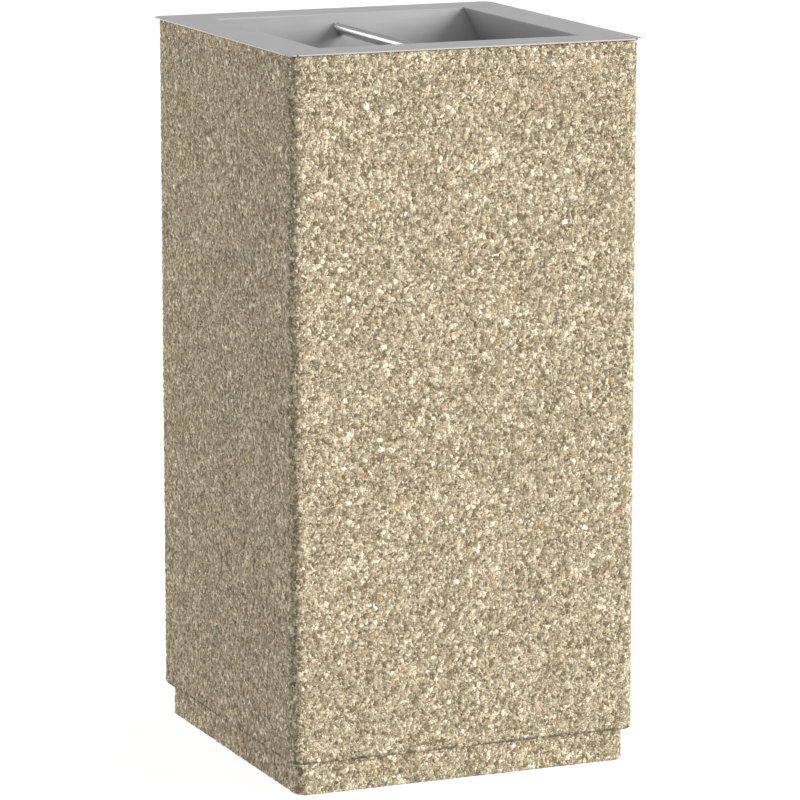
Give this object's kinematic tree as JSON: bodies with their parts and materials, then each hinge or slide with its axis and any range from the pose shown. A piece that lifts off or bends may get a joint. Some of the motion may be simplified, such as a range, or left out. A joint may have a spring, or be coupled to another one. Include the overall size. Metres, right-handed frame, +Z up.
{
  "type": "ashtray bin",
  "caption": "Square exposed-aggregate concrete ashtray bin with a lift-off steel top, V-shaped hopper, stub-out bar and an ash bucket inside.",
  "frame": {"origin": "on the ground, at the middle of the square column", "axes": "+Z up, -Y the front, +X to the right of someone facing the front; the stub-out bar runs along Y"},
  "size_m": [0.407, 0.407, 0.7918],
  "materials": {
    "concrete": "exposed fine gravel, rough",
    "satin_steel": "satin",
    "polished_steel": "polished",
    "galvanised_steel": "hot-dip galvanised",
    "zinc_plate": "zinc plated",
    "sleeve_plastic": "matt",
    "black_plastic": "satin moulded"
  },
  "bodies": {
    "housing": {"concrete_body": "concrete", "drain_sleeve": "sleeve_plastic", "anchor_sleeve_1": "sleeve_plastic", "anchor_sleeve_2": "sleeve_plastic", "lifting_socket_1": "zinc_plate", "lifting_socket_2": "zinc_plate", "lifting_socket_3": "zinc_plate", "lifting_socket_4": "zinc_plate", "socket_plug_1": "black_plastic", "socket_plug_2": "black_plastic", "socket_plug_3": "black_plastic", "socket_plug_4": "black_plastic"},
    "ash_top": {"top_plate": "satin_steel", "hopper_slope_front": "satin_steel", "hopper_slope_back": "satin_steel", "hopper_end_left": "satin_steel", "hopper_end_right": "satin_steel", "slot_ramp_left": "satin_steel", "slot_ramp_right": "satin_steel", "stub_out_bar": "polished_steel", "locating_tab_front": "satin_steel", "locating_tab_right": "satin_steel", "locating_tab_back": "satin_steel", "locating_tab_left": "satin_steel"},
    "ash_bucket": {"bucket_shell": "galvanised_steel", "bucket_base": "galvanised_steel", "bucket_rim": "galvanised_steel", "bail_ear_left": "zinc_plate", "bail_ear_right": "zinc_plate", "ear_rivet_left_1": "zinc_plate", "ear_rivet_left_2": "zinc_plate", "ear_rivet_right_1": "zinc_plate", "ear_rivet_right_2": "zinc_plate"},
    "bail": {"bail_wire": "galvanised_steel", "bail_grip": "black_plastic"}
  },
  "joints": [
    {"name": "top_lift", "type": "slide", "parent": "housing", "child": "ash_top", "axis": [0, 0, 1], "range_m": [0, 1]},
    {"name": "bucket_lift", "type": "slide", "parent": "housing", "child": "ash_bucket", "axis": [0, 0, 1], "range_m": [0, 0.76]},
    {"name": "bail_swing", "type": "hinge", "parent": "ash_bucket", "child": "bail", "pos_m": [0, 0, 0.5203], "axis": [-1, 0, 0], "range_deg": [0, 214.5]}
  ],
  "couplings": [
    {"joint": "bucket_lift", "follows": "top_lift", "ratio": 0.76}
  ]
}
